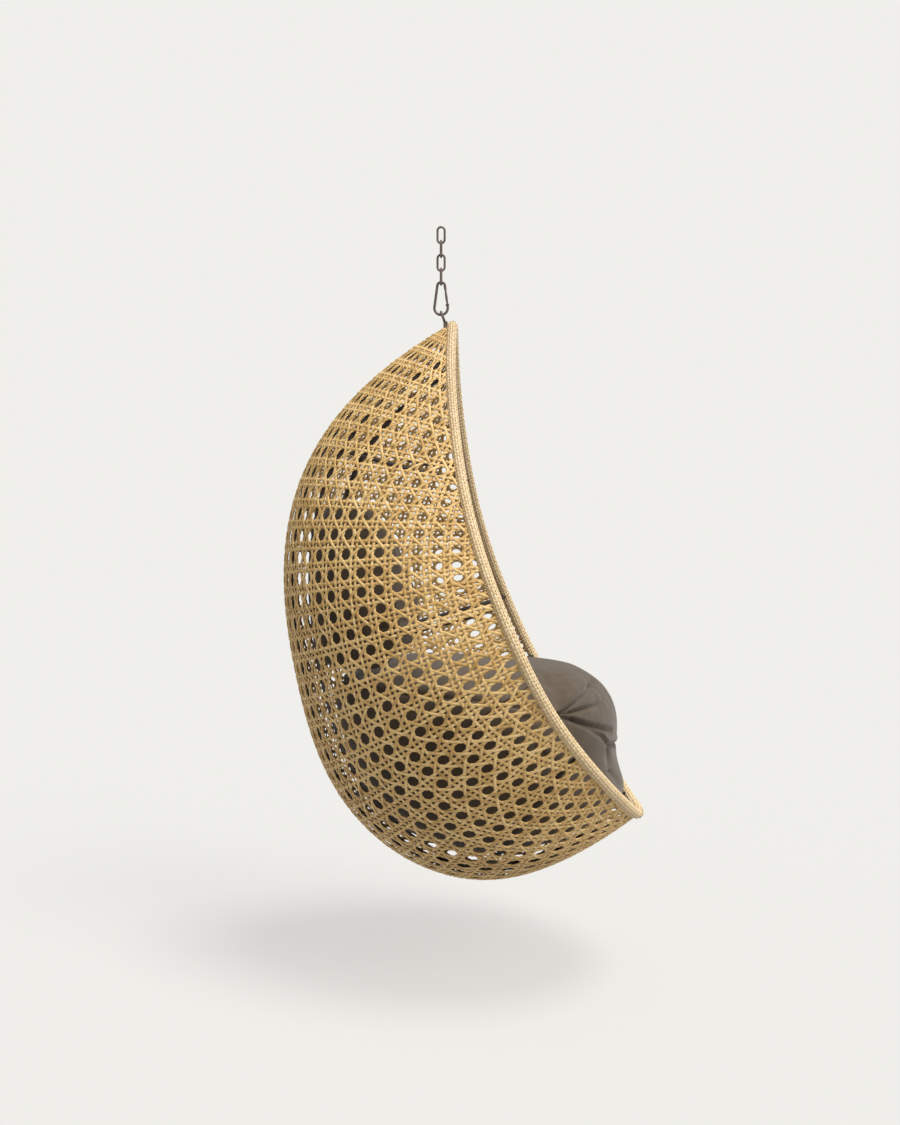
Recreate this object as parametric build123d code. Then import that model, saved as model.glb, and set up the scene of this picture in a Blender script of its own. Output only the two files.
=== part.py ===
from build123d import *
import os
from math import asin, cos, hypot, pi, radians, sin, tan

import numpy as np

# Hanging egg chair, in millimetres. +Z is up, the chair faces -Y, and X runs from side to side.
# The origin is the inside top of the first chain link, where a ceiling hook bears.

# ---- driving dimensions ----
# chain
LINKS = 4
LINK_WIRE = 5.0
LINK_INNER = 31.0  # inside length, which is also the pitch
LINK_INNER_WIDTH = 11.0
PLAY = 0.1  # gap left at each place where one loop bears on the next

# carabiner, narrow end up
HOOK_WIRE = 6.0
HOOK_INNER = 67.0  # inside height
HOOK_TOP_RADIUS = 8.5  # both radii are of the wire's centre line
HOOK_BOTTOM_RADIUS = 15.0
GATE_TOP = 14.0  # the gate's pin, below the narrow end's arc centre
GATE_LENGTH = 25.0  # pin to nose
GATE_WIRE = 5.4
TONGUE = 2.4  # thickness of the two tongues that the gate's slots straddle
SLOT_PLAY = 0.3
PIN_RADIUS = 1.0
COLLAR = 3.9  # radius of the collar under the nose

# eye
EYE_WIRE = 6.0
EYE_INNER_RADIUS = 8.0
EYE_LEAN = 20.0  # degrees, its foot forward
EYE_FOOT, EYE_FOOT_Y = 9.0, -10.0

# shell: the weave's middle surface, from the apex over the back to the front tip
SHELL = 3.0  # thickness of the woven skin
SPINE_POINTS = [  # (y, z) in the plane of symmetry
    (-26, -214), (100, -298), (245, -441), (318, -580), (348, -770), (318, -1006),
    (225, -1258), (70, -1402), (-100, -1444), (-278, -1392), (-432, -1296),
]
RIM_POINTS = [  # (x, y, z) of the right half, apex to front tip
    (9.5, -26, -216), (89, -27, -330), (153, -38, -450), (236, -63, -600), (320, -106, -750),
    (372, -166, -900), (362, -244, -1050), (292, -335, -1174), (165, -405, -1260), (0, -434, -1296),
]
RIM_ANGLE = radians(97)  # past a quarter turn, so the sides curl in a little at the rim
ROW_SPREAD = 0.6  # how much wider the rows stand on the rim near the apex

# frame tubes: outside radius and wall
RIM_TUBE, RIM_WALL = 8.0, 1.5
RIM_RUNS, TIP_RUN = 26, 62.0  # straight runs in each half, and the length of the last one
SPINE_TUBE, SPINE_WALL = 8.0, 1.5
RIB_TUBE, RIB_WALL = 6.0, 1.2
HOOP_TUBE, HOOP_WALL = 5.0, 1.0
HOOP_ROWS = {"hoop_upper": 7.8, "hoop_middle": 18, "hoop_seat": 25, "hoop_lower": 32}  # rows of the weave
RIB_ROUTE = [  # (row, share of the way from the spine to the rim)
    (0.075, 0.70), (0.105, 0.58), (0.14, 0.50), (0.18, 0.44), (0.22, 0.41), (0.26, 0.40),
    (0.30, 0.395), (0.34, 0.39), (0.38, 0.385), (0.42, 0.38), (0.46, 0.375), (0.50, 0.37),
    (0.54, 0.37), (0.58, 0.37), (0.62, 0.37), (0.66, 0.37), (0.70, 0.375), (0.74, 0.38),
    (0.78, 0.39), (0.82, 0.41), (0.86, 0.44), (0.895, 0.49),
]
RIB_ENDS = (0.05, 0.935)  # rows where a rib meets the rim
GAP = 0.4  # between pieces that lie along each other
CROSSING = 3.0  # extra room where a hoop passes inside a rib
COPE = 7.0  # from the rim's axis to where a tube's end is, before it is cut to the rim's round
WRAP = 11.5  # outside radius of the bound rim
WRAP_START, WRAP_END = 8.0, 27.0  # bare rim tube left at the apex and at the tip
EDGE = 13.5  # from the rim's axis to the skin's edge
SKIN_ROWS = (0.03, 0.972)  # the skin's first and last row

GUSSET = 5.0  # thickness
GUSSET_OUTLINE = [  # the eye's foot stands on its first edge, and its horn is between the rim tubes
    (-16, -228), (-8, -228), (22, -247.3), (13.4, -260.7), (-8, -255), (-34, -241), (-34, -214), (-16, -214),
]
SLEEVE, SLEEVE_LENGTH = 11.0, 50.0

# seat cushion: (z, half width, depth behind the middle, depth before it, middle y) of each level
WADDING = 30.0
SEAT_LEVELS = [
    (-1392, 70, 75, 70, -104), (-1380, 110, 124, 114, -104), (-1360, 147, 170, 154, -112),
    (-1335, 180, 218, 194, -122), (-1305, 210, 256, 238, -126), (-1270, 238, 290, 278, -128),
    (-1240, 254, 310, 290, -130), (-1200, 274, 334, 273, -132), (-1164, 290, 352, 263, -134),
    (-1120, 303, 370, 263, -138), (-1077, 310, 382, 261, -140), (-1037, 306, 388, 252, -142),
    (-1005, 288, 380, 225, -142), (-983, 254, 358, 191, -140), (-968, 205, 322, 130, -135),
]
# back cushion: it is bent round the shell, so a level is (z, half width and depth of the oval that its
# middle line follows, the oval's middle y, the angle it reaches to each side, thickness)
BACK_LEVELS = [
    (-960, 268, 366, -140, 54, 84), (-900, 262, 366, -133, 59, 112), (-820, 241, 345, -107, 60, 118),
    (-740, 205, 296, -57, 60, 116), (-680, 174, 254, -20, 58, 108), (-635, 149, 223, 2, 52, 92),
    (-605, 133, 202, 14, 42, 64), (-591, 126, 194, 18, 26, 30),
]


# ---- curves and the shell's surface ----
def through(points):
    """A natural cubic spline through the points, as a function of the share of its length."""
    p = np.array(points, float)
    t = np.concatenate([[0], np.cumsum(np.linalg.norm(np.diff(p, axis=0), axis=1))])
    h = np.diff(t)[:, None]
    matrix, slope = np.eye(len(p)), np.zeros_like(p)
    for i in range(1, len(p) - 1):
        matrix[i, i - 1 : i + 2] = h[i - 1, 0], 2 * (h[i - 1, 0] + h[i, 0]), h[i, 0]
        slope[i] = 6 * ((p[i + 1] - p[i]) / h[i] - (p[i] - p[i - 1]) / h[i - 1])
    bend = np.linalg.solve(matrix, slope)
    s = np.linspace(0, t[-1], 2001)
    i = np.clip(np.searchsorted(t, s, side="right") - 1, 0, len(h) - 1)
    a, b, w = (t[i + 1] - s)[:, None], (s - t[i])[:, None], h[i]
    q = bend[i] * a**3 / (6 * w) + bend[i + 1] * b**3 / (6 * w)
    q += (p[i] / w - bend[i] * w / 6) * a + (p[i + 1] / w - bend[i + 1] * w / 6) * b
    run = np.concatenate([[0], np.cumsum(np.linalg.norm(np.diff(q, axis=0), axis=1))])
    return lambda share: np.array([np.interp(share * run[-1], run, c) for c in q.T])


spine = through([(0, y, z) for y, z in SPINE_POINTS])
rim = through([(-x, y, z) for x, y, z in RIM_POINTS[:-1]] + RIM_POINTS[::-1])


def rim_share(u):
    """The right rim's point of row u, as a share of the whole rim, whose right half runs from 1 to 0.5."""
    return 1 - (u + ROW_SPREAD * u * (1 - u) ** 3) / 2


def surface(u, v):
    """The weave's middle surface: u is 0 at the apex and 1 at the tip, v is -1 to 1 from rim to rim."""
    x, y, z = rim(rim_share(u))
    turn = v * RIM_ANGLE
    reach = (cos(turn) - cos(RIM_ANGLE)) / (1 - cos(RIM_ANGLE))
    _, back_y, back_z = spine(u)
    return np.array([x * sin(turn) / sin(RIM_ANGLE), y + (back_y - y) * reach, z + (back_z - z) * reach])


def row_number(u, v):
    """Which row of the weave a place is on: the rows crowd together towards the rim, low down."""
    t = min(max((40 * u - 13) / 21, 0), 1)
    return 40 * u - 0.2 + 4.6 * t * t * (3 - 2 * t) * abs(v) ** 2.7


def row_place(row, v):
    """The u at which a row of the weave is met, v of the way out."""
    low, high = 0.0, 1.0
    for _ in range(30):
        u = (low + high) / 2
        low, high = (u, high) if row_number(u, v) < row else (low, u)
    return u


def normal(u, v):
    """The surface's unit normal, outwards."""
    step = 1e-3
    along = surface(min(u + step, 1), v) - surface(max(u - step, 0), v)
    across = surface(u, v + step) - surface(u, v - step)
    n = np.cross(across, along)
    return n / np.linalg.norm(n)


def inside(u, v, depth):
    """The point at a depth inside the surface."""
    return tuple(surface(u, v) - normal(u, v) * depth)


def skin_edge(u):
    """How far v goes in row u before the skin comes to its edge beside the rim."""
    at_rim = surface(u, 1)
    low, high = 0.3, 1.0
    for _ in range(20):
        v = (low + high) / 2
        if np.linalg.norm(surface(u, v) - at_rim) > EDGE:
            low = v
        else:
            high = v
    return low


# ---- general shapes ----
def smooth_path(points, first=0, last=0):
    """Straight runs joined by tangent arcs as large as the runs allow. The ends may be drawn in."""
    p = [Vector(*q) for q in points]
    radii = []
    for before, here, after in zip(p, p[1:], p[2:]):
        turn = radians((here - before).get_angle(after - here))
        radii.append(0.45 * min((here - before).length, (after - here).length) / tan(turn / 2))
    p[0] += (p[1] - p[0]).normalized() * first
    p[-1] += (p[-2] - p[-1]).normalized() * last
    return FilletPolyline(*p, radius=radii)


def tube(points, radius, wall=None, first=0, last=0):
    """A round bar or tube along the points."""
    path = smooth_path(points, first, last)
    section = Circle(radius) - Circle(radius - wall) if wall else Circle(radius)
    return sweep(Plane(origin=path @ 0, z_dir=path % 0) * section, path)


def rod(start, end, radius):
    """A straight round bar."""
    a, b = Vector(*start), Vector(*end)
    return extrude(Plane(origin=a, z_dir=b - a) * Circle(radius), (b - a).length)


def ring(inner_length, inner_width, wire):
    """A welded oval link in the XZ plane, with its inside top at the origin."""
    radius = (inner_width + wire) / 2
    straight = inner_length - inner_width
    middle = Plane.XZ * Pos(0, -inner_length / 2) * SlotCenterToCenter(straight, 2 * radius, rotation=90)
    path = middle.wire()
    return sweep(Plane(origin=path @ 0, z_dir=path % 0) * Circle(wire / 2 - PLAY / 2), path)


def mirrored(shape):
    return mirror(shape, about=Plane.YZ)


def oval(z, width, behind, before, y):
    """A level of the seat cushion: half an ellipse behind its middle and half of another before it."""
    turns = np.linspace(0, 2 * pi, 24, endpoint=False)
    points = [(width * cos(t), y + (behind if sin(t) > 0 else before) * sin(t)) for t in turns]
    return Plane.XY.offset(z) * make_face(Spline(*points, periodic=True))


def bent_oval(z, width, depth, y, angle, thickness):
    """A level of the back cushion: a long oval bent round the shell."""
    points = []
    for t in np.linspace(0, 2 * pi, 20, endpoint=False):
        turn = radians(angle) * cos(t)
        out_x, out_y = depth * sin(turn), width * cos(turn)
        off = thickness / 2 * sin(t) / hypot(out_x, out_y)
        points.append((width * sin(turn) + off * out_x, y + depth * cos(turn) + off * out_y))
    return Plane.XY.offset(z) * make_face(Spline(*points, periodic=True))


def seat_cushion():
    """The seat pad, empty within its wadding so that it weighs about what a loose fill does."""
    low, high = SEAT_LEVELS[0][0] + WADDING, SEAT_LEVELS[-1][0] - WADDING
    fill = [
        (z, a - WADDING, b - WADDING, c - WADDING, y) for z, a, b, c, y in SEAT_LEVELS if low <= z <= high
    ]
    return loft([oval(*level) for level in SEAT_LEVELS]) - loft([oval(*level) for level in fill])


def back_cushion():
    return loft([bent_oval(*level) for level in BACK_LEVELS])


# ---- hanging gear ----
def chain():
    """The links by name: odd ones stand in the YZ plane and even ones in the XZ plane."""
    link = ring(LINK_INNER, LINK_INNER_WIDTH, LINK_WIRE)
    turned = Rot(0, 0, 90) * link
    places = [Pos(0, 0, -n * LINK_INNER) for n in range(LINKS)]
    return {f"chain_link_{n + 1}": place * (link if n % 2 else turned) for n, place in enumerate(places)}


HOOK_TOP = -LINKS * LINK_INNER  # inside top of the carabiner
HOOK_BOTTOM = HOOK_TOP - HOOK_INNER
TOP_CENTRE = HOOK_TOP + HOOK_WIRE / 2 - HOOK_TOP_RADIUS
BOTTOM_CENTRE = HOOK_BOTTOM - HOOK_WIRE / 2 + HOOK_BOTTOM_RADIUS
LEAN = asin((HOOK_BOTTOM_RADIUS - HOOK_TOP_RADIUS) / (TOP_CENTRE - BOTTOM_CENTRE))


def front_leg(drop):
    """A point on the front leg's centre line, a drop down the leg from the narrow end's arc."""
    start = (-HOOK_TOP_RADIUS * cos(LEAN), TOP_CENTRE + HOOK_TOP_RADIUS * sin(LEAN))
    return (0, start[0] - drop * sin(LEAN), start[1] - drop * cos(LEAN))


def on_leg(drop):
    """A frame on the front leg: its own X across the hook, its own Z up the leg."""
    return Plane(origin=front_leg(drop), x_dir=(1, 0, 0), z_dir=(0, sin(LEAN), cos(LEAN)))


def carabiner():
    """The open bar of the hook, with a tongue for the gate's pin and a nose for its latch."""
    side, lift = cos(LEAN), sin(LEAN)
    pin, nose = GATE_TOP, GATE_TOP + GATE_LENGTH
    top_left = (0, -HOOK_TOP_RADIUS * side, TOP_CENTRE + HOOK_TOP_RADIUS * lift)
    top_right = (0, HOOK_TOP_RADIUS * side, TOP_CENTRE + HOOK_TOP_RADIUS * lift)
    low_right = (0, HOOK_BOTTOM_RADIUS * side, BOTTOM_CENTRE + HOOK_BOTTOM_RADIUS * lift)
    low_left = (0, -HOOK_BOTTOM_RADIUS * side, BOTTOM_CENTRE + HOOK_BOTTOM_RADIUS * lift)
    path = Wire([
        Line(front_leg(pin - 4.5), top_left),
        ThreePointArc(top_left, (0, 0, TOP_CENTRE + HOOK_TOP_RADIUS), top_right),
        Line(top_right, low_right),
        ThreePointArc(low_right, (0, 0, BOTTOM_CENTRE - HOOK_BOTTOM_RADIUS), low_left),
        Line(low_left, front_leg(nose + 3)),
    ])
    bar = sweep(Plane(origin=path @ 0, z_dir=path % 0) * Circle(HOOK_WIRE / 2 - PLAY / 2), path)
    bar += on_leg(pin) * Pos(0, 0, 1.1) * Box(TONGUE, 3.6, 7.4)
    bar -= on_leg(pin) * (Rot(0, 90, 0) * Cylinder(PIN_RADIUS + 0.02, 10))
    bar += on_leg(nose) * Box(TONGUE, 3.6, 6.8)
    bar += on_leg(nose + 5.2) * Cylinder(COLLAR, 4.4)
    return bar


def gate():
    """The gate, slotted at both ends, with a blind bore for its spring."""
    pin, nose = GATE_TOP, GATE_TOP + GATE_LENGTH
    length = GATE_LENGTH + 1.0
    slot = TONGUE + 2 * SLOT_PLAY
    shape = on_leg(pin + length / 2 - 1.6) * Cylinder(GATE_WIRE / 2, length + 1.2)
    shape -= on_leg(pin + 1.2) * Box(slot, 2 * GATE_WIRE, 8.6)
    shape -= on_leg(nose) * Pos(0, 0, 0.6) * Box(slot, 2 * GATE_WIRE, 7.4)
    shape -= on_leg(pin) * (Rot(0, 90, 0) * Cylinder(PIN_RADIUS + 0.02, 10))
    shape -= on_leg(pin + 9.4) * Cylinder(1.1, 8.4)
    spring = on_leg(pin + 9.6) * (Cylinder(0.95, 7.6) - Cylinder(0.5, 7.6))
    return shape, spring


def rivet():
    return on_leg(GATE_TOP) * (Rot(0, 90, 0) * Cylinder(PIN_RADIUS - 0.02, GATE_WIRE + 0.4))


def eye():
    """The ring on the apex, leaning forward, with the foot that is welded to the gusset."""
    radius = EYE_INNER_RADIUS + EYE_WIRE / 2
    top = HOOK_BOTTOM + EYE_WIRE / 2
    loop = Pos(0, 0, -radius) * (Rot(90, 0, 0) * Torus(radius, EYE_WIRE / 2 - PLAY / 2))
    shape = Pos(0, 0, top) * (Rot(-EYE_LEAN, 0, 0) * loop)
    foot_top = top - 2 * radius + 0.5
    foot_end = GUSSET_OUTLINE[0][1] + GAP / 2
    shape += Pos(0, EYE_FOOT_Y, (foot_top + foot_end) / 2) * Box(EYE_FOOT, EYE_FOOT, foot_top - foot_end)
    return shape


# ---- frame ----
def rim_route():
    """Points of the right rim tube's axis, whose last run is level and lies across the tip."""
    points = [tuple(rim(share)) for share in np.linspace(1, 0.5, RIM_RUNS + 1)]
    _, tip_y, tip_z = points[-1]
    points[-2] = (TIP_RUN, tip_y, tip_z)
    return points


def rim_tube():
    return tube(rim_route(), RIM_TUBE, RIM_WALL, last=GAP / 4)


def spine_route():
    depth = SHELL / 2 + GAP + SPINE_TUBE
    return [inside(u, 0, depth) for u in np.linspace(0.03, 0.965, 30)]


def at_rim(u):
    """Where a tube from inside the shell ends on the rim tube, in row u."""
    return inside(u, 1, COPE)


def coped(shape, rims):
    """A tube with its ends cut to fit round the rim tubes."""
    for bar in rims:
        shape -= bar
    return shape


def rib_route():
    depth = SHELL / 2 + GAP + RIB_TUBE
    return [at_rim(RIB_ENDS[0])] + [inside(u, v, depth) for u, v in RIB_ROUTE] + [at_rim(RIB_ENDS[1])]


def hoop_route(row):
    depth = SHELL / 2 + GAP + 2 * SPINE_TUBE + CROSSING + HOOP_TUBE
    end = row_place(row, 1)
    last = 1 - 2.2 * EDGE / abs(surface(end, 1)[0])
    half = [inside(row_place(row, v), v, depth) for v in np.linspace(0, last, 8)] + [at_rim(end)]
    return [(-x, y, z) for x, y, z in half[:0:-1]] + half


def rim_wrap():
    """The binding round the right rim tube, open where other tubes come in."""
    shape = tube(rim_route(), WRAP, WRAP - RIM_TUBE - GAP / 2, WRAP_START, WRAP_END)
    ends = [hoop_route(row)[-2:] + [HOOP_TUBE] for row in HOOP_ROWS.values()]
    route = rib_route()
    ends += [route[1::-1] + [RIB_TUBE], route[-2:] + [RIB_TUBE]]
    for start, end, radius in ends:
        shape -= rod(start, end, radius + GAP)
    return shape


def gusset():
    outline = Polyline(*[(y, z) for y, z in GUSSET_OUTLINE], close=True)
    return extrude(Plane.YZ * make_face(outline), GUSSET / 2, both=True)


def tip_sleeve():
    x, y, z = rim_route()[-1]
    sleeve = Cylinder(SLEEVE, SLEEVE_LENGTH) - Cylinder(RIM_TUBE + GAP / 2, SLEEVE_LENGTH)
    return Pos(0, y, z) * (Rot(0, 90, 0) * sleeve)


# ---- weave ----
def skin_face(depth):
    """One side of the skin, at a depth inside the weave's middle surface."""
    rows = []
    for u in np.linspace(*SKIN_ROWS, 30):
        edge = skin_edge(u)
        rows.append([Vector(*inside(u, v, depth)) for v in np.linspace(-edge, edge, 19)])
    return Face.make_surface_from_array_of_points(rows, tol=0.01, min_deg=3, max_deg=3)


def woven_shell():
    """The skin as one closed form: its two sides, and the narrow edges between them."""
    outer, inner = skin_face(-SHELL / 2), skin_face(SHELL / 2)
    edges = [Face.make_surface_from_curves(a, b) for a, b in zip(outer.edges(), inner.edges())]
    return Solid(Shell(Face.sew_faces([outer, inner] + edges)[0]))


# ---- all of it ----
def sub_parts():
    parts = chain()
    parts["carabiner_body"] = carabiner()
    parts["carabiner_gate"], parts["gate_spring"] = gate()
    parts["gate_rivet"] = rivet()
    parts["hanging_eye"] = eye()
    parts["apex_gusset"] = gusset()
    parts["tip_sleeve"] = tip_sleeve()
    for name, make in (("rim_tube", rim_tube), ("rim_wrap", rim_wrap)):
        parts[name + "_right"] = make()
        parts[name + "_left"] = mirrored(parts[name + "_right"])
    right_bar = tube(rim_route(), RIM_TUBE + GAP / 2)
    rims = right_bar, mirrored(right_bar)
    parts["rib_right"] = coped(tube(rib_route(), RIB_TUBE, RIB_WALL), rims[:1])
    parts["rib_left"] = mirrored(parts["rib_right"])
    parts["spine_tube"] = tube(spine_route(), SPINE_TUBE, SPINE_WALL)
    for name, row in HOOP_ROWS.items():
        parts[name] = coped(tube(hoop_route(row), HOOP_TUBE, HOOP_WALL), rims)
    parts["woven_shell"] = woven_shell()
    parts["seat_cushion"] = seat_cushion()
    parts["back_cushion"] = back_cushion()
    return parts


os.makedirs("parts", exist_ok=True)
for name, shape in sub_parts().items():
    export_step(shape, f"parts/{name}.step")
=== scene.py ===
import math

import bpy
import bmesh
import numpy as np
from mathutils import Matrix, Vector


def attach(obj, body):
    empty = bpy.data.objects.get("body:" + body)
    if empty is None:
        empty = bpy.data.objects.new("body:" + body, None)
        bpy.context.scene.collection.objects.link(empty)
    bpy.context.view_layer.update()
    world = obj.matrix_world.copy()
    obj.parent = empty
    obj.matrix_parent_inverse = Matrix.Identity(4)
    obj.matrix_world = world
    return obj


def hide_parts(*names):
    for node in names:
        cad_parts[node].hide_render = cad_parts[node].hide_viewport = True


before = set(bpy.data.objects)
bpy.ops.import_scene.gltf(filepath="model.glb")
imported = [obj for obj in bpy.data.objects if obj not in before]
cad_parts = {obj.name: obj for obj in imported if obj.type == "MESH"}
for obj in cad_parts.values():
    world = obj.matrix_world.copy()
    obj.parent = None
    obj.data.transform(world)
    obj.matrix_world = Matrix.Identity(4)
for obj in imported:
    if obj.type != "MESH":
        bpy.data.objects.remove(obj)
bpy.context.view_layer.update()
MM = 0.001
rng = np.random.default_rng(7)

# ---- the chair's shape, in millimetres, as the CAD has it ----
SPINE_POINTS = [
    (-26, -214), (100, -298), (245, -441), (318, -580), (348, -770), (318, -1006),
    (225, -1258), (70, -1402), (-100, -1444), (-278, -1392), (-432, -1296),
]
RIM_POINTS = [
    (9.5, -26, -216), (89, -27, -330), (153, -38, -450), (236, -63, -600), (320, -106, -750),
    (372, -166, -900), (362, -244, -1050), (292, -335, -1174), (165, -405, -1260), (0, -434, -1296),
]
RIM_ANGLE = math.radians(97)  # how far round the shell's section goes from the spine to the rim
ROW_SPREAD = 0.6  # how far the rows' ends run ahead of their middles, down the rim
# seat cushion: (z, half width, depth behind the middle, depth before it, middle y) of each level
SEAT_LEVELS = [
    (-1392, 70, 75, 70, -104), (-1380, 110, 124, 114, -104), (-1360, 147, 170, 154, -112),
    (-1335, 180, 218, 194, -122), (-1305, 210, 256, 238, -126), (-1270, 238, 290, 278, -128),
    (-1240, 254, 310, 290, -130), (-1200, 274, 334, 273, -132), (-1164, 290, 352, 263, -134),
    (-1120, 303, 370, 263, -138), (-1077, 310, 382, 261, -140), (-1037, 306, 388, 252, -142),
    (-1005, 288, 380, 225, -142), (-983, 254, 358, 191, -140), (-968, 205, 322, 130, -135),
]
# back cushion, bent round the shell: (z, half width and depth of the oval its middle line follows, the
# oval's middle y, the angle it reaches to each side, thickness). Its lowest level is lower here than in
# the CAD, because the soft pad stands pressed into the seat's
BACK_LEVELS = [
    (-998, 268, 366, -140, 52, 80), (-900, 262, 366, -133, 59, 112), (-820, 241, 345, -107, 60, 118),
    (-740, 205, 296, -57, 60, 116), (-680, 174, 254, -20, 58, 108), (-635, 149, 223, 2, 52, 92),
    (-605, 133, 202, 14, 42, 64), (-591, 126, 194, 18, 26, 30),
]

# ---- weave ----
ROWS = 44  # level pairs, apex to tip, counted down the rim
SPINE_ROWS, FIRST_ROW = 40, -0.2  # the rows down the spine, and the number that they start from
# low down more rows meet the rim than the spine: how many more, the spine's row where that begins, over how
# many rows it grows, and the power that keeps it near the rim
EXTRA_ROWS, EXTRA_FROM, EXTRA_OVER, EXTRA_POWER = 4.6, 13, 21, 2.7
COLUMNS = 17  # upright pairs from the spine to the rim, where the shell is widest
BELT = (0.46, 0.54)  # the shares of the way down between which no column has run out
# how many columns are gone this share of the way above the belt, as this power of the way, and then how many
# would be gone the whole way below it, as its own power
LOST_ABOVE, LOST_OVER, POWER_ABOVE = 6.6, 0.39, 2.2
LOST_BELOW, POWER_BELOW = 45.9, 1.7
# the shares of the way down between which the upright, the level and the slanting strands run
COLUMN_SPAN, ROW_SPAN, SLANT_SPAN = (0.012, 0.988), (0.008, 0.992), (0.01, 0.99)
SHORTEST = 0.97  # an upright strand that stays further out than this share of the way to the rim is left out
FEWEST_LEVEL, FEWEST_SLANT = 8, 4  # a strand with fewer samples than this is left out
STRAND_WIDTH, STRAND_THICK = 6.2, 2.0
PAIR = 0.145  # half the distance between the two strands of a pair, as a share of the pitch
LIFT = 1.35  # how far a strand rises and falls as it goes over and under
OUTSET = 1.4  # the weave stands this far outside the shell's middle surface
STEPS = 8  # samples to a pitch
FULL_PITCH = 27.0  # where the pitch is shorter than this, the strands are finer
LEAST_WIDTH, LEAST_RISE, LEAST_THICK = 0.26, 0.5, 0.55  # the least share of each that a fine strand keeps


def through(points):
    """A natural cubic spline through the points, as a function of the share of its length."""
    p = np.array(points, float)
    t = np.concatenate([[0], np.cumsum(np.linalg.norm(np.diff(p, axis=0), axis=1))])
    h = np.diff(t)[:, None]
    matrix, slope = np.eye(len(p)), np.zeros_like(p)
    for i in range(1, len(p) - 1):
        matrix[i, i - 1 : i + 2] = h[i - 1, 0], 2 * (h[i - 1, 0] + h[i, 0]), h[i, 0]
        slope[i] = 6 * ((p[i + 1] - p[i]) / h[i] - (p[i] - p[i - 1]) / h[i - 1])
    bend = np.linalg.solve(matrix, slope)
    s = np.linspace(0, t[-1], 2001)
    i = np.clip(np.searchsorted(t, s, side="right") - 1, 0, len(h) - 1)
    a, b, w = (t[i + 1] - s)[:, None], (s - t[i])[:, None], h[i]
    q = bend[i] * a**3 / (6 * w) + bend[i + 1] * b**3 / (6 * w)
    q += (p[i] / w - bend[i] * w / 6) * a + (p[i + 1] / w - bend[i + 1] * w / 6) * b
    run = np.concatenate([[0], np.cumsum(np.linalg.norm(np.diff(q, axis=0), axis=1))])

    def at(share):
        return np.stack([np.interp(np.asarray(share) * run[-1], run, c) for c in q.T], -1)

    at.length = run[-1]
    return at


spine = through([(0, y, z) for y, z in SPINE_POINTS])
rim = through([(-x, y, z) for x, y, z in RIM_POINTS[:-1]] + RIM_POINTS[::-1])


def surface(u, v):
    """The shell's middle surface: u is 0 at the apex and 1 at the tip, v is -1 to 1 from rim to rim."""
    edge = rim(1 - (u + ROW_SPREAD * u * (1 - u) ** 3) / 2)
    back = spine(u)
    turn = v * RIM_ANGLE
    reach = (np.cos(turn) - math.cos(RIM_ANGLE)) / (1 - math.cos(RIM_ANGLE))
    x = edge[..., 0] * np.sin(turn) / math.sin(RIM_ANGLE)
    y = edge[..., 1] + (back[..., 1] - edge[..., 1]) * reach
    z = edge[..., 2] + (back[..., 2] - edge[..., 2]) * reach
    return np.stack([x, y, z], -1)


def column_count(u):
    """How many columns lie between the spine and the rim: they run out at the rim above and below."""
    above, below = np.clip(BELT[0] - u, 0, None), np.clip(u - BELT[1], 0, None)
    return COLUMNS - LOST_ABOVE * (above / LOST_OVER) ** POWER_ABOVE - LOST_BELOW * below**POWER_BELOW


def row_number(u, v):
    """Which row a place is on: the rows crowd together towards the rim, low down."""
    t = np.clip((SPINE_ROWS * u - EXTRA_FROM) / EXTRA_OVER, 0, 1)
    return SPINE_ROWS * u + FIRST_ROW + EXTRA_ROWS * t * t * (3 - 2 * t) * np.abs(v) ** EXTRA_POWER


def find_row(row, across):
    """The u at which a row is met, where across(u) says how far out to look."""
    halvings = 22
    low, high = np.zeros_like(row), np.ones_like(row)
    for _ in range(halvings):
        middle = (low + high) / 2
        short = row_number(middle, across(middle)) < row
        low, high = np.where(short, middle, low), np.where(short, high, middle)
    return (low + high) / 2


def frames(u, v):
    """Points, outward normals, and the length of a row's and a column's pitch at each."""
    step = 2e-3
    u = np.clip(u, 2 * step, 1 - 2 * step)
    along = (surface(u + step, v) - surface(u - step, v)) / (2 * step)
    across = (surface(u, v + step) - surface(u, v - step)) / (2 * step)
    n = np.cross(across, along)
    n /= np.linalg.norm(n, axis=-1, keepdims=True)
    rows = (row_number(u + step, v) - row_number(u - step, v)) / (2 * step)
    row_pitch = np.linalg.norm(along, axis=-1) / rows
    column_pitch = np.linalg.norm(across, axis=-1) / column_count(u)
    return surface(u, v), n, row_pitch, column_pitch


def unit(a):
    return a / np.maximum(np.linalg.norm(a, axis=-1, keepdims=True), 1e-9)


# a strand's section, rounded on top and shallower underneath, as (across, up) shares of width and thickness
STRAND_SECTION = [(-0.5, -0.05), (-0.34, 0.42), (0.0, 0.56), (0.34, 0.42), (0.5, -0.05), (0.0, -0.44)]


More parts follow.
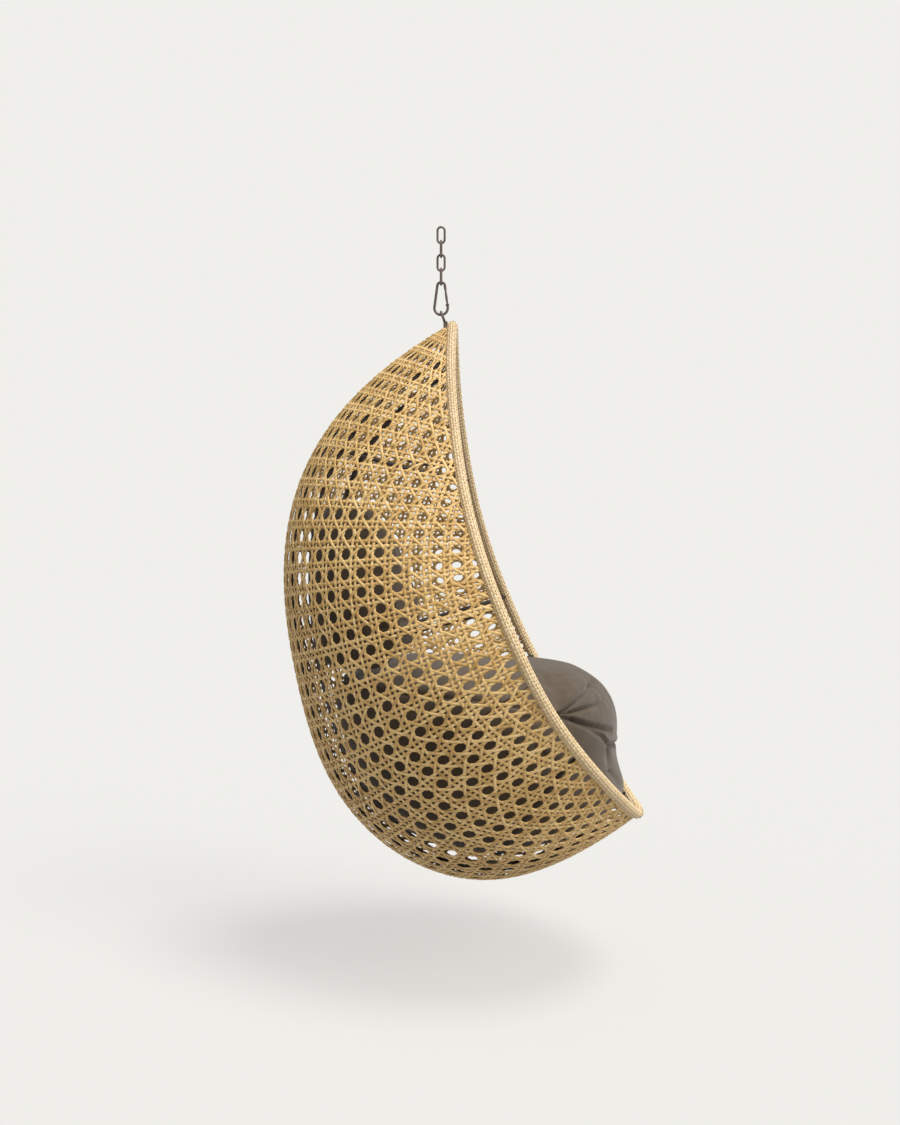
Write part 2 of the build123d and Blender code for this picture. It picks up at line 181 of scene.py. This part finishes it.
class Bundle:
    """Collects strands into one mesh, with each strand's own number and the way along it."""

    def __init__(self):
        self.points, self.faces, self.along, self.tone, self.count = [], [], [], [], 0

    def strand(self, path, normals, width, thick):
        n, k = len(path), len(STRAND_SECTION)
        if n < 2:
            return
        tangent = unit(np.gradient(path, axis=0))
        side = unit(np.cross(tangent, normals))
        up = unit(np.cross(side, tangent))
        width = np.broadcast_to(np.asarray(width, float), (n,))[:, None]
        thick = np.broadcast_to(np.asarray(thick, float), (n,))[:, None]
        rings = [path + side * (a * width) + up * (b * thick) for a, b in STRAND_SECTION]
        self.points.append(np.stack(rings, 1).reshape(-1, 3))
        length = np.concatenate([[0], np.cumsum(np.linalg.norm(np.diff(path, axis=0), axis=1))])
        self.along.append(np.repeat(length, k))
        self.tone.append(np.full(n * k, rng.random()))
        i, j = np.meshgrid(np.arange(n - 1), np.arange(k), indexing="ij")
        a = self.count + i * k + j
        b = self.count + i * k + (j + 1) % k
        self.faces.append(np.stack([a, b, b + k, a + k], -1).reshape(-1, 4))
        first, last = self.count, self.count + (n - 1) * k
        caps = [[first + 5, first + 4, first + 1, first], [first + 4, first + 3, first + 2, first + 1],
                [last, last + 1, last + 4, last + 5], [last + 1, last + 2, last + 3, last + 4]]
        self.faces.append(np.array(caps))
        self.count += n * k

    def build(self, name, material, body="chair", slot="wicker"):
        points = np.concatenate(self.points) * MM
        faces = np.concatenate(self.faces)
        mesh = bpy.data.meshes.new(name)
        mesh.vertices.add(len(points))
        mesh.vertices.foreach_set("co", points.ravel())
        mesh.loops.add(faces.size)
        mesh.loops.foreach_set("vertex_index", faces.ravel().astype(np.int32))
        mesh.polygons.add(len(faces))
        mesh.polygons.foreach_set("loop_start", np.arange(0, faces.size, 4, dtype=np.int32))
        mesh.polygons.foreach_set("loop_total", np.full(len(faces), 4, dtype=np.int32))
        mesh.update(calc_edges=True)
        for key, values in (("along", np.concatenate(self.along) * MM), ("tone", np.concatenate(self.tone))):
            layer = mesh.attributes.new(key, "FLOAT", "POINT")
            layer.data.foreach_set("value", values.astype(np.float32))
        mesh.shade_smooth()
        return add_piece(name, mesh, material, body)


def add_piece(name, mesh, material, body):
    piece = bpy.data.objects.new(name, mesh)
    bpy.context.scene.collection.objects.link(piece)
    mesh.materials.clear()
    mesh.materials.append(material)
    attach(piece, body)
    return piece


# ---- materials ----
def socket_name(key):
    return key.replace("_", " ").title().replace("Ior", "IOR")


class Nodes:
    """A short way to write a node material: a setting is a node's own property, or else one of its inputs."""

    def __init__(self, name):
        self.material = bpy.data.materials.new(name)
        self.material.use_nodes = True
        self.tree = self.material.node_tree
        self.shader = self.tree.nodes["Principled BSDF"]

    def add(self, kind, **settings):
        node = self.tree.nodes.new(kind)
        for key, value in settings.items():
            if hasattr(node, key):
                setattr(node, key, value)
            else:
                node.inputs[socket_name(key)].default_value = value
        return node

    def join(self, source, target):
        self.tree.links.new(source, target)

    def set(self, **values):
        for key, value in values.items():
            self.shader.inputs[socket_name(key)].default_value = value

    def ramp(self, source, stops):
        node = self.add("ShaderNodeValToRGB")
        while len(node.color_ramp.elements) < len(stops):
            node.color_ramp.elements.new(0.5)
        for element, (place, colour) in zip(node.color_ramp.elements, stops):
            element.position = place
            element.color = (*colour, 1)
        self.join(source, node.inputs["Fac"])
        return node.outputs["Color"]

    def bump(self, height, strength, distance):
        node = self.add("ShaderNodeBump", strength=strength, distance=distance)
        self.join(height, node.inputs["Height"])
        self.join(node.outputs["Normal"], self.shader.inputs["Normal"])


def wicker_material(name, dark, middle, light):
    """Round-backed plastic cane: streaks along each strand, and each strand a little different."""
    m = Nodes(name)
    along = m.add("ShaderNodeAttribute", attribute_name="along")
    tone = m.add("ShaderNodeAttribute", attribute_name="tone")
    place = m.add("ShaderNodeTexCoord")
    vector = m.add("ShaderNodeCombineXYZ")
    m.join(along.outputs["Fac"], vector.inputs["X"])
    m.join(tone.outputs["Fac"], vector.inputs["Y"])
    streak = m.add("ShaderNodeTexNoise", scale=26, detail=5, roughness=0.65)
    m.join(vector.outputs["Vector"], streak.inputs["Vector"])
    fibre = m.add("ShaderNodeTexNoise", scale=420, detail=3)
    m.join(place.outputs["Object"], fibre.inputs["Vector"])
    mix = m.add("ShaderNodeMath", operation="MULTIPLY_ADD")
    m.join(fibre.outputs["Fac"], mix.inputs[0])
    mix.inputs[1].default_value = 0.5
    m.join(streak.outputs["Fac"], mix.inputs[2])
    spread = m.add("ShaderNodeMath", operation="MULTIPLY_ADD")
    m.join(tone.outputs["Fac"], spread.inputs[0])
    spread.inputs[1].default_value = 0.22
    m.join(mix.outputs["Value"], spread.inputs[2])
    colour = m.ramp(spread.outputs["Value"], [(0.55, dark), (0.82, middle), (1.0, light)])
    m.join(colour, m.shader.inputs["Base Color"])
    m.set(roughness=0.52, specular_ior_level=0.35)
    m.bump(mix.outputs["Value"], 0.25, 0.0006)
    return m.material


def fabric_material():
    """Tight plain-weave polyester: fine threads, a faint mottle and a soft sheen."""
    m = Nodes("taupe_fabric")
    place = m.add("ShaderNodeTexCoord")
    heights = []
    for axis in ("X", "Z"):
        wave = m.add("ShaderNodeTexWave", bands_direction=axis, scale=420, distortion=1.5)
        m.join(place.outputs["Object"], wave.inputs["Vector"])
        heights.append(wave.outputs["Fac"])
    threads = m.add("ShaderNodeMath", operation="ADD")
    m.join(heights[0], threads.inputs[0])
    m.join(heights[1], threads.inputs[1])
    mottle = m.add("ShaderNodeTexNoise", scale=60, detail=6)
    m.join(place.outputs["Object"], mottle.inputs["Vector"])
    total = m.add("ShaderNodeMath", operation="MULTIPLY_ADD")
    m.join(threads.outputs["Value"], total.inputs[0])
    total.inputs[1].default_value = 0.12
    m.join(mottle.outputs["Fac"], total.inputs[2])
    colour = m.ramp(total.outputs["Value"], [(0.3, FABRIC_DARK), (0.62, FABRIC), (0.9, FABRIC_LIGHT)])
    m.join(colour, m.shader.inputs["Base Color"])
    m.set(roughness=0.85, specular_ior_level=0.2, sheen_weight=0.25, sheen_roughness=0.5)
    m.bump(total.outputs["Value"], 0.3, 0.0006)
    return m.material


def metal_material(name, dark, light, roughness, metallic):
    """Powder-coated or browned steel: a fine orange peel and slightly paler high spots."""
    m = Nodes(name)
    place = m.add("ShaderNodeTexCoord")
    cloud = m.add("ShaderNodeTexNoise", scale=90, detail=6)
    m.join(place.outputs["Object"], cloud.inputs["Vector"])
    colour = m.ramp(cloud.outputs["Fac"], [(0.3, dark), (0.75, light)])
    m.join(colour, m.shader.inputs["Base Color"])
    peel = m.add("ShaderNodeTexNoise", scale=900)
    m.join(place.outputs["Object"], peel.inputs["Vector"])
    m.set(roughness=roughness, metallic=metallic)
    m.bump(peel.outputs["Fac"], 0.2, 0.0003)
    return m.material


FABRIC_DARK = (0.080, 0.058, 0.038)
FABRIC = (0.094, 0.069, 0.046)
FABRIC_LIGHT = (0.109, 0.081, 0.056)
WICKER = wicker_material("golden_cane", (0.36, 0.20, 0.058), (0.64, 0.40, 0.138), (0.82, 0.58, 0.26))
BINDING = wicker_material("pale_cane", (0.55, 0.38, 0.185), (0.70, 0.51, 0.28), (0.80, 0.63, 0.40))
CHAIN_METAL = metal_material("browned_steel", (0.12, 0.088, 0.077), (0.21, 0.165, 0.145), 0.42, 0.5)
FRAME_METAL = metal_material("powder_coat", (0.030, 0.021, 0.018), (0.055, 0.040, 0.034), 0.5, 0.0)
TAUPE = fabric_material()


# ---- weave pieces ----
def lay(bundle, u, v, height, narrow):
    """Lays a strand along the surface, thinner where the pitch leaves it less room."""
    p, n, row_pitch, column_pitch = frames(u, v)
    both = np.minimum(column_pitch, row_pitch)
    room = {"column": column_pitch, "row": row_pitch, "both": both}[narrow]
    share = np.clip(room / FULL_PITCH, LEAST_WIDTH, 1.0)
    rise = (OUTSET + height * LIFT * np.clip(share, LEAST_RISE, 1))[:, None]
    bundle.strand(p + n * rise, n, STRAND_WIDTH * share, STRAND_THICK * np.clip(share, LEAST_THICK, 1))


def column_strands(side):
    """The upright pairs of one side. Each ends where it meets the rim."""
    bundle = Bundle()
    u = np.linspace(*COLUMN_SPAN, SPINE_ROWS * STEPS)
    for i in range(COLUMNS):
        for hand in (-1, 1):
            a = side * (i + hand * PAIR)
            v = a / column_count(u)
            if a * side < 0 or np.abs(v).min() > SHORTEST:
                continue
            keep = np.abs(v) < 1.0
            y = row_number(u[keep], v[keep])
            lay(bundle, u[keep], v[keep], -hand * side * np.sin(4 * math.pi * y), "column")
    return bundle


def row_strands(first, last):
    """The level pairs, rim to rim, from the first to the one before the last."""
    bundle = Bundle()
    for j in range(first, last):
        for hand in (-1, 1):
            v = np.linspace(-1, 1, 2 * COLUMNS * STEPS + 1)
            u = find_row(np.full_like(v, j + hand * PAIR), lambda u: v)
            keep = (u > ROW_SPAN[0]) & (u < ROW_SPAN[1])
            if keep.sum() < FEWEST_LEVEL:
                continue
            u, v = u[keep], v[keep]
            # where samples fell out between two that are kept, the strand is in parts
            for part in np.split(np.arange(len(u)), np.where(np.diff(v) > 0.02)[0] + 1):
                x = v[part] * column_count(u[part])
                lay(bundle, u[part], v[part], hand * np.sin(4 * math.pi * x), "row")
    return bundle


def diagonal_strands(hand):
    """One set of slanting strands. The two sets slant opposite ways, one over where the other is under."""
    bundle = Bundle()
    a = np.arange(-COLUMNS * STEPS, COLUMNS * STEPS + 1) / STEPS
    for k in range(-COLUMNS, ROWS + COLUMNS):
        row = k + 0.5 - hand * a
        u = find_row(row, lambda u: a / column_count(u))
        v = a / column_count(u)
        keep = (np.abs(v) < 1) & (u > SLANT_SPAN[0]) & (u < SLANT_SPAN[1])
        kept = np.where(keep & (np.abs(row_number(u, v) - row) < 0.01))[0]
        if len(kept) < FEWEST_SLANT:
            continue
        for part in np.split(kept, np.where(np.diff(kept) > 1)[0] + 1):
            lay(bundle, u[part], v[part], -hand * np.cos(2 * math.pi * a[part]), "both")
    return bundle


def build_weave():
    pieces = [
        column_strands(-1).build("weave_columns_left", WICKER),
        column_strands(1).build("weave_columns_right", WICKER),
        row_strands(1, ROWS // 2).build("weave_rows_upper", WICKER),
        row_strands(ROWS // 2, ROWS + 1).build("weave_rows_lower", WICKER),
        diagonal_strands(1).build("weave_slant_a", WICKER),
        diagonal_strands(-1).build("weave_slant_b", WICKER),
    ]
    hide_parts("woven_shell")


# ---- rim binding ----
CORDS = 11  # long strands round the rim; an odd number, so that each turn of the coil changes sides
CORD_WIDTH, CORD_THICK, CORD_STEP = 5.2, 1.7, 2.5
COIL_WIDTH, COIL_THICK, COIL_PITCH = 5.4, 1.7, 7.5
COIL_STEPS = 36  # samples to a turn
RIM_END = 0.0015  # the share of the rim left bare at each of its ends, at the apex
BINDING_RADIUS = 10.2
BINDING_RISE = 0.6  # how far a strand goes over and under
# how much thicker the binding is over the tip's sleeve, how far from the tip, and over what length it thins
SWELL, SWELL_REACH, SWELL_FADE = 2.4, 48.0, 8.0
INSIDE = (0.0, 40.0, -800.0)  # a place in the hollow of the shell, which the rim's sections face
WHIP_TURNS, WHIP_STEPS, WHIP_HEIGHT = 10, 40, 9.5
WHIP_WIDTH, WHIP_THICK = 5.6, 2.2
WHIP_ROUNDING = 0.25  # the share of the whipping over which its upper end rounds over
# half width, and place in the plane of symmetry, where the whipping starts and where it ends
WHIP_START, WHIP_END = (14, -25, -226), (27, 21, -255.5)


def half_rim(side, count):
    """Shares of the rim's length from the tip to the apex, along one half."""
    return np.linspace(0.5, 1 - RIM_END if side > 0 else RIM_END, count)


def rim_frames(share):
    """Points on the rim's axis with two directions square to it: one towards INSIDE, and one sideways."""
    p = rim(share)
    step = 5e-4
    along = unit(rim(share + step) - rim(share - step))
    side = unit(np.cross(along, unit(np.array(INSIDE) - p)))
    return p, unit(np.cross(side, along)), side


def binding_radius(way):
    """The binding's radius a way along the rim from the tip."""
    return BINDING_RADIUS + SWELL * np.clip((SWELL_REACH - way) / SWELL_FADE, 0, 1)


def coil(side):
    """The strand wound round one half of the rim, over one long strand and under the next."""
    bundle = Bundle()
    turns = rim.length / 2 / COIL_PITCH
    n = int(turns * COIL_STEPS)
    p, a, b = rim_frames(half_rim(side, n))
    turn = (np.linspace(0, turns, n) * 2 * math.pi)[:, None]
    out = a * np.cos(turn) + b * np.sin(turn)
    radius = binding_radius(turn / (2 * math.pi) * COIL_PITCH) + BINDING_RISE * np.cos(CORDS * turn / 2)
    bundle.strand(p + out * radius, out, COIL_WIDTH, COIL_THICK)
    return bundle


def cords(side):
    """The long strands of the binding, each over one turn of the coil and under the next."""
    bundle = Bundle()
    n = int(rim.length / 2 / CORD_STEP)
    p, a, b = rim_frames(half_rim(side, n))
    way = np.linspace(0, rim.length / 2 / COIL_PITCH, n)
    for k in range(CORDS):
        turn = 2 * math.pi * k / CORDS
        out = a * math.cos(turn) + b * math.sin(turn)
        rise = -BINDING_RISE * np.cos(math.pi * (way - k / CORDS) + math.pi * k)
        radius = (binding_radius(way * COIL_PITCH) + rise)[:, None]
        bundle.strand(p + out * radius, out, CORD_WIDTH, CORD_THICK)
    return bundle


def apex_whipping():
    """The strand wound round the apex, from where the rim's halves meet to the weave's first row."""
    bundle = Bundle()
    s = np.linspace(0, 1, WHIP_TURNS * WHIP_STEPS)
    turn = s * WHIP_TURNS * 2 * math.pi
    (x0, y0, z0), (x1, y1, z1) = WHIP_START, WHIP_END
    along = unit(np.array([0, y1 - y0, z1 - z0], float))
    up = np.array([0, -along[2], along[1]])
    dome = np.sqrt(1 - (1 - np.clip(s / WHIP_ROUNDING, 0, 1)) ** 2)
    axis = np.stack([0 * s, y0 + (y1 - y0) * s, z0 + (z1 - z0) * s], axis=1)
    ring = axis + (dome * WHIP_HEIGHT * np.sin(turn))[:, None] * up
    ring[:, 0] += dome * (x0 + (x1 - x0) * s) * np.cos(turn)
    # the turns are flat ovals, so the strand faces sideways less than it faces up and down
    out = unit(0.4 * np.cos(turn)[:, None] * np.array([1.0, 0, 0]) + np.sin(turn)[:, None] * up)
    bundle.strand(ring, out, WHIP_WIDTH, WHIP_THICK)
    return bundle


def build_binding():
    for side, name in ((1, "right"), (-1, "left")):
        wound = coil(side).build(f"binding_coil_{name}", BINDING, slot="binding")
        cords(side).build(f"binding_cords_{name}", BINDING, slot="binding")
        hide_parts(f"rim_wrap_{name}")
    apex_whipping().build("binding_apex", BINDING, slot="binding")


# ---- cushions ----
RINGS, AROUND = 46, 120  # points up and round a pad's first form
BLUNTNESS = 16  # how square a pad's ends are before the cloth rounds them
VOXEL = 0.0075  # metres
CLOTH_FRAMES = 20
REMESH_SOFTENING, CLOTH_SOFTENING = 8, 9


def seat_ring(level, close, inset, turn):
    """The seat pad's outline at one level, where close is 1, or a share of it where the pad rounds over."""
    half, behind, before, y = level
    depth = np.where(np.sin(turn) > 0, behind, before)
    return (half - inset) * close * np.cos(turn), y + (depth - inset) * close * np.sin(turn)


def back_ring(level, close, inset, turn):
    """The back pad's outline at one level, in the same way, bent along its oval."""
    half, depth, y, angle, thick = level
    bend = math.radians(angle) * close * np.cos(turn)
    out = np.stack([depth * np.sin(bend), half * np.cos(bend)])
    off = (thick / 2 - inset) * close * np.sin(turn) / np.hypot(*out)
    return half * np.sin(bend) + off * out[0], y + depth * np.cos(bend) + off * out[1]


def level_form(name, levels, ring, inset):
    """A closed mesh through the levels' outlines, drawn in by the inset and rounded over at both ends."""
    table = np.array(levels, float)
    low, high = table[0, 0] + inset * 0.6, table[-1, 0] - inset * 0.6
    mid, half = (low + high) / 2, (high - low) / 2
    turn = np.linspace(0, 2 * math.pi, AROUND, endpoint=False)
    verts, faces = [], []
    for h in mid + half * np.sin(np.linspace(-math.pi / 2, math.pi / 2, RINGS)):
        close = max(0.0, 1 - ((h - mid) / half) ** BLUNTNESS) ** 0.5
        x, y = ring([np.interp(h, table[:, 0], c) for c in table.T[1:]], close, inset, turn)
        verts += [(a, b, h) for a, b in zip(x, y)]
    for i in range(RINGS - 1):
        for j in range(AROUND):
            k = (j + 1) % AROUND
            low_ring, high_ring = i * AROUND, (i + 1) * AROUND
            faces.append((low_ring + j, low_ring + k, high_ring + k, high_ring + j))
    mesh = bpy.data.meshes.new(name)
    mesh.from_pydata([Vector(v) * MM for v in verts], [], faces)
    clean = bmesh.new()
    clean.from_mesh(mesh)
    bmesh.ops.remove_doubles(clean, verts=clean.verts, dist=0.5 * MM)
    bmesh.ops.recalc_face_normals(clean, faces=clean.faces)
    clean.to_mesh(mesh)
    clean.free()
    return mesh


def active(piece):
    bpy.ops.object.select_all(action="DESELECT")
    piece.select_set(True)
    bpy.context.view_layer.objects.active = piece


def remesh(piece):
    """Even squares all over, which the cloth needs, with the steps between the voxels smoothed away."""
    active(piece)
    mod = piece.modifiers.new("remesh", "REMESH")
    mod.mode = "VOXEL"
    mod.voxel_size = VOXEL
    bpy.ops.object.modifier_apply(modifier=mod.name)
    soften(piece, REMESH_SOFTENING)


def soften(piece, times):
    active(piece)
    mod = piece.modifiers.new("soften", "SMOOTH")
    mod.factor = 0.5
    mod.iterations = times
    bpy.ops.object.modifier_apply(modifier=mod.name)


def coordinates(mesh):
    co = np.empty(len(mesh.vertices) * 3)
    mesh.vertices.foreach_get("co", co)
    return co.reshape(-1, 3)


def puff(piece, held, cap):
    """Blows the pad up as cloth while the held points keep still. No point moves further than the cap."""
    start = coordinates(piece.data)
    group = piece.vertex_groups.new(name="held")
    group.add([int(i) for i in np.where(held)[0]], 1.0, "REPLACE")
    active(piece)
    cloth = piece.modifiers.new("cloth", "CLOTH")
    cloth.settings.use_pressure = True
    cloth.settings.uniform_pressure_force = 4
    cloth.settings.effector_weights.gravity = 0
    cloth.settings.vertex_group_mass = "held"
    cloth.settings.quality = 5
    cloth.settings.tension_stiffness = 12
    cloth.settings.bending_stiffness = 0.4
    cloth.point_cache.frame_end = CLOTH_FRAMES
    for f in range(1, CLOTH_FRAMES + 1):
        bpy.context.scene.frame_set(f)
    bpy.ops.object.modifier_apply(modifier="cloth")
    bpy.context.scene.frame_set(1)
    moved = coordinates(piece.data) - start
    far = np.linalg.norm(moved, axis=1, keepdims=True)
    moved *= np.minimum(1, cap * MM / np.maximum(far, 1e-9))
    piece.data.vertices.foreach_set("co", (start + moved).ravel())
    soften(piece, CLOTH_SOFTENING)
    mod = piece.modifiers.new("smooth", "SUBSURF")
    mod.levels = 1
    bpy.ops.object.modifier_apply(modifier=mod.name)


def carve(piece, sink):
    """Moves each point inwards by its sink, in metres."""
    points = coordinates(piece.data) - vertex_normals(piece.data) * sink[:, None]
    piece.data.vertices.foreach_set("co", points.ravel())
    piece.data.shade_smooth()


def vertex_normals(mesh):
    n = np.empty(len(mesh.vertices) * 3)
    mesh.vertices.foreach_get("normal", n)
    return n.reshape(-1, 3)


def groove(points, start, end, depth, width):
    """How deep a crease cuts, on both sides of the pad: its ends are (y, z), and it widens and fades out."""
    a, b = np.array(start) * MM, np.array(end) * MM
    line = b - a
    flat = points[:, 1:]
    t = np.clip(((flat - a) @ line) / (line @ line), 0, 1)
    off = np.linalg.norm(flat - (a + t[:, None] * line), axis=1)
    spread = width * MM * (0.6 + 0.7 * t)
    sideways = np.clip((np.abs(points[:, 0]) / MM - CREASE_FROM) / CREASE_GROWTH, 0, 1)
    return sideways * depth * MM * (1 - t) ** 0.4 * np.exp(-((off / spread) ** 2))


def dimple(points, centre, depth, radius):
    """How deep a tuft pulls the cloth in: steep in the middle, with a long shallow edge."""
    off = np.linalg.norm(points - np.array(centre) * MM, axis=1)
    return depth * MM * np.exp(-((off / (radius * MM)) ** 1.3))


CREASE_FROM, CREASE_GROWTH = 35, 50  # a crease begins this far from the middle, and deepens over this much
# the tuft on each side of the seat pad, and the creases round it as (start, end, depth, width), in (y, z)
TUFT = (258, -262, -1052)
TUFT_DEPTH, TUFT_RADIUS, TUFT_HELD = 17, 26, 16
CREASES = [
    ((-262, -1050), (-352, -994), 20, 6), ((-264, -1052), (-354, -1043), 16, 5),
    ((-258, -1046), (-262, -984), 6, 15), ((-284, -1064), (-374, -1107), 18, 4.5),
    ((-250, -1056), (-180, -1010), 9, 10), ((-246, -1058), (-150, -1062), 8, 9),
    ((-362, -1142), (-366, -1185), 6, 6), ((-366, -1190), (-412, -1252), 5, 7),
    ((-210, -1120), (-262, -1172), 7, 9), ((-90, -1075), (-30, -1150), 7, 10),
    ((-20, -1010), (60, -1060), 7, 11),
]
# the seam's side view as (y, z), level at the back and dipping to the front
SEAM = [
    (-402, -1150), (-380, -1142), (-363, -1134), (-348, -1110), (-312, -1084), (-268, -1060), (-230, -1045),
    (-80, -1022), (240, -1010),
]
SEAM_HELD, SEAM_REAR = 5, 120  # the cloth is held this near the seam, as far back as this y
SEAM_DEPTH, SEAM_WIDTH = 6, 4.5
WELT_RISE, WELT_ABOVE, WELT_WIDTH = 2.2, 11, 6  # the fold of cloth over the seam
REAR_RISE = 14  # how much the seat pad's top rises to the back pad
REAR_FROM, REAR_OVER = (-120, -1040), (160, 50)  # the (y, z) where that rise begins, and how far it takes


def seam_height(y):
    """The height of the seam between the seat pad's top and its side panel."""
    return np.interp(y, *np.transpose(SEAM))


def bell(way, width):
    return np.exp(-((way / width) ** 2))


def build_pad(name, levels, ring, inset):
    form = level_form(name, levels, ring, inset)
    piece = add_piece(name, form, TAUPE, "chair")
    remesh(piece)
    return piece


def build_seat_cushion():
    piece = build_pad("seat_pad", SEAT_LEVELS, seat_ring, inset=10)
    points = coordinates(piece.data) / MM
    rear, top = np.clip((points[:, 1:] - REAR_FROM) / REAR_OVER, 0, 1).T
    points[:, 2] += REAR_RISE * rear * top
    piece.data.vertices.foreach_set("co", (points * MM).ravel())
    held = np.abs(points[:, 2] - seam_height(points[:, 1])) < SEAM_HELD
    for side in (-1, 1):
        held |= np.linalg.norm(points - np.array(TUFT) * (side, 1, 1), axis=1) < TUFT_HELD
    puff(piece, held & (points[:, 1] < SEAM_REAR), cap=11)
    points = coordinates(piece.data)
    sink = np.zeros(len(points))
    for side in (-1, 1):
        sink += dimple(points, (side * TUFT[0], *TUFT[1:]), TUFT_DEPTH, TUFT_RADIUS)
    for crease in CREASES:
        sink = np.maximum(sink, 0.5 * sink + groove(points, *crease))
    above = points[:, 2] / MM - seam_height(points[:, 1] / MM)
    sink += SEAM_DEPTH * MM * bell(above, SEAM_WIDTH)
    sink -= WELT_RISE * MM * bell(above - WELT_ABOVE, WELT_WIDTH)
    carve(piece, sink)
    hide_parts("seat_cushion")


# creases of the back pad where it bends, and where it stands on the seat
BACK_CREASES = [
    ((60, -700), (150, -650), 7, 9), ((20, -800), (130, -770), 7, 10), ((10, -905), (140, -880), 9, 11),
    ((175, -935), (190, -860), 7, 12),
]


def build_back_cushion():
    piece = build_pad("back_pad", BACK_LEVELS, back_ring, inset=8)
    puff(piece, np.zeros(len(piece.data.vertices), bool), cap=9)
    points = coordinates(piece.data)
    sink = np.zeros(len(points))
    for crease in BACK_CREASES:
        sink = np.maximum(sink, groove(points, *crease))
    carve(piece, sink)
    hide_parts("back_cushion")


# ---- carried-over metal ----
def dress_metal():
    hanging = ("chain_link", "carabiner", "gate", "hanging_eye")
    for name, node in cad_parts.items():
        node.data.materials.clear()
        node.data.materials.append(CHAIN_METAL if name.startswith(hanging) else FRAME_METAL)
        node.data.shade_smooth()


# ---- stage ----
FLOOR_Z, FLOOR_REACH, DOME_RADIUS = -1.65, 40, 45  # metres
BACKDROP = (0.871, 0.863, 0.831)
FLOOR_DIFFUSE = 0.235  # how much light the floor throws back, as a share of the backdrop's colour
AMBIENT = 0.56
# each light: its strength, how wide it looks in degrees, and how it leans about X, Y and Z
SUNS = [("key", 2.2, 22, (16, -10, 0)), ("side", 1.5, 30, (38, -38, 0))]


def direct_light():
    """How brightly the lights alone light a white floor."""
    tilts = [(energy, math.radians(x), math.radians(y)) for _, energy, _, (x, y, _) in SUNS]
    return sum(energy * math.cos(x) * math.cos(y) / math.pi for energy, x, y in tilts)


def stage_piece(name, mesh, base, glow):
    """A matt piece of the stage that shines by itself in the glow's colour."""
    piece = bpy.data.objects.new(name, mesh)
    bpy.context.scene.collection.objects.link(piece)
    m = Nodes(name)
    m.set(roughness=1.0, specular_ior_level=0.0, base_color=(*base, 1))
    m.set(emission_color=(*glow, 1), emission_strength=1.0)
    mesh.materials.append(m.material)
    return piece


def build_stage():
    # the floor's own glow makes up what the lights lack, so that only a shadow sets it off from the backdrop
    base = [c * FLOOR_DIFFUSE for c in BACKDROP]
    glow = [c * (1 - FLOOR_DIFFUSE * (AMBIENT * c + direct_light())) for c in BACKDROP]
    mesh = bpy.data.meshes.new("floor")
    corners = [(-1, -1), (1, -1), (1, 1), (-1, 1)]
    mesh.from_pydata([(x * FLOOR_REACH, y * FLOOR_REACH, FLOOR_Z) for x, y in corners], [], [(0, 1, 2, 3)])
    floor = stage_piece("floor", mesh, base, glow)
    floor.visible_diffuse = False

    world = bpy.data.worlds.new("studio")
    bpy.context.scene.world = world
    world.use_nodes = True
    world.node_tree.nodes["Background"].inputs["Color"].default_value = (*BACKDROP, 1)
    world.node_tree.nodes["Background"].inputs["Strength"].default_value = AMBIENT

    # the backdrop is a dome that the camera sees and that lights nothing, so that the room's light can be
    # softer than it looks
    form = bmesh.new()
    bmesh.ops.create_icosphere(form, subdivisions=4, radius=DOME_RADIUS)
    mesh = bpy.data.meshes.new("backdrop")
    form.to_mesh(mesh)
    form.free()
    dome = stage_piece("backdrop", mesh, (0, 0, 0), BACKDROP)
    for way in ("diffuse", "glossy", "transmission", "volume_scatter", "shadow"):
        setattr(dome, "visible_" + way, False)

    for name, energy, softness, lean in SUNS:
        sun = bpy.data.lights.new(name, "SUN")
        sun.energy = energy
        sun.angle = math.radians(softness)
        lamp = bpy.data.objects.new(name, sun)
        lamp.rotation_euler = [math.radians(a) for a in lean]
        bpy.context.scene.collection.objects.link(lamp)


CAMERA_TURN, CAMERA_DISTANCE = math.radians(3.84), 2.6  # round from the chair's side, and metres away
CAMERA_TARGET = (0, -0.020, -0.749)
LENS, SENSOR = 37.15, 36


def place_camera():
    data = bpy.data.cameras.new("camera")
    data.lens = LENS
    data.sensor_width = SENSOR
    camera = bpy.data.objects.new("camera", data)
    ahead = Vector((math.cos(CAMERA_TURN), math.sin(CAMERA_TURN), 0))
    camera.location = Vector(CAMERA_TARGET) - CAMERA_DISTANCE * ahead
    camera.rotation_euler = (math.pi / 2, 0, CAMERA_TURN - math.pi / 2)
    bpy.context.scene.collection.objects.link(camera)
    bpy.context.scene.camera = camera
    bpy.context.scene.view_settings.view_transform = "Standard"


place_camera()
build_stage()
dress_metal()
build_weave()
build_binding()
build_seat_cushion()
build_back_cushion()
